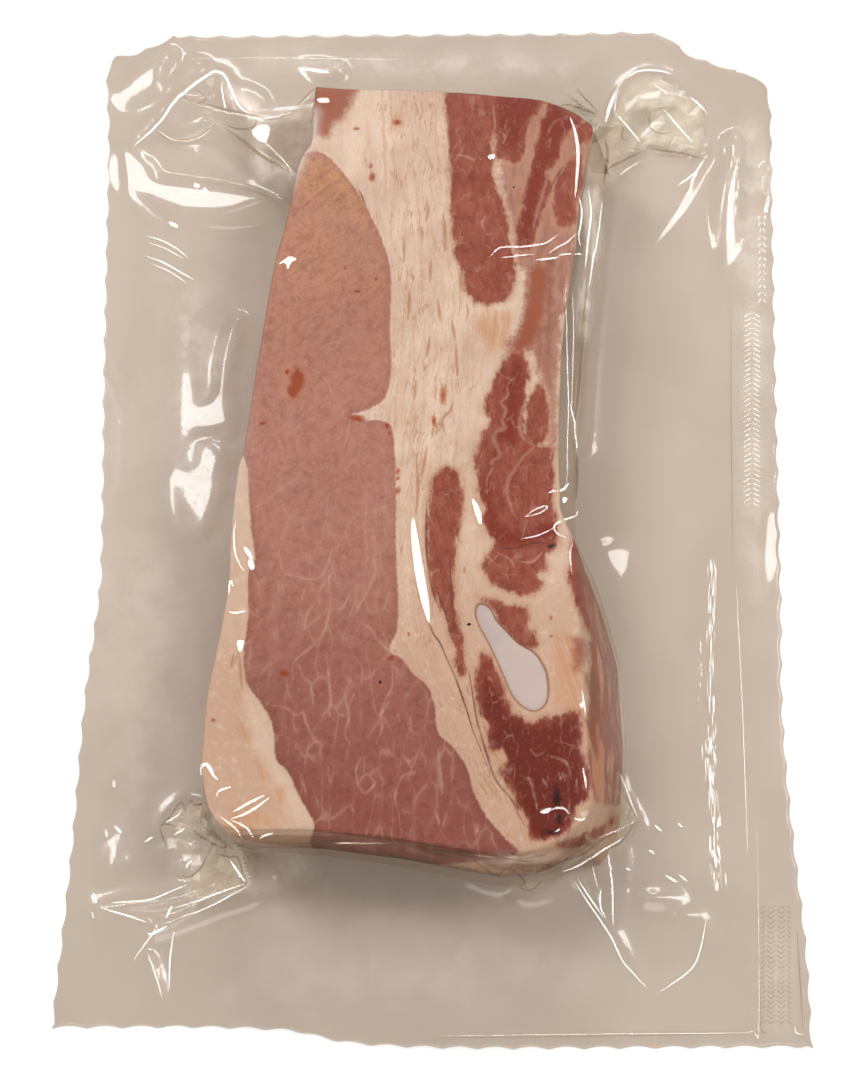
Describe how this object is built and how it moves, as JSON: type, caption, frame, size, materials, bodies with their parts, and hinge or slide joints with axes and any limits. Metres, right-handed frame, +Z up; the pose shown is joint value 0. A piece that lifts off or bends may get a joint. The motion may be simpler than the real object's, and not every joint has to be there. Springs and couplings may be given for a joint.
{
  "type": "vacuum pack of cooked salt pork",
  "caption": "Block of cooked salt pork sealed between a flat lid film and a clear formed film, with a wide flat flange, scalloped cut edges and cut far corners.",
  "frame": {"origin": "on the underside of the lid film, under the middle of the pack's box", "axes": "+X across the pack, +Y along it to the end with the cut corners, +Z up through the block"},
  "size_m": [0.226, 0.336, 0.04],
  "materials": {
    "pack": "clear glossy film drawn tight over pink cured pork with cream fat, and over itself in the flange"
  },
  "bodies": {
    "root": {"pack": "pack"}
  },
  "joints": []
}
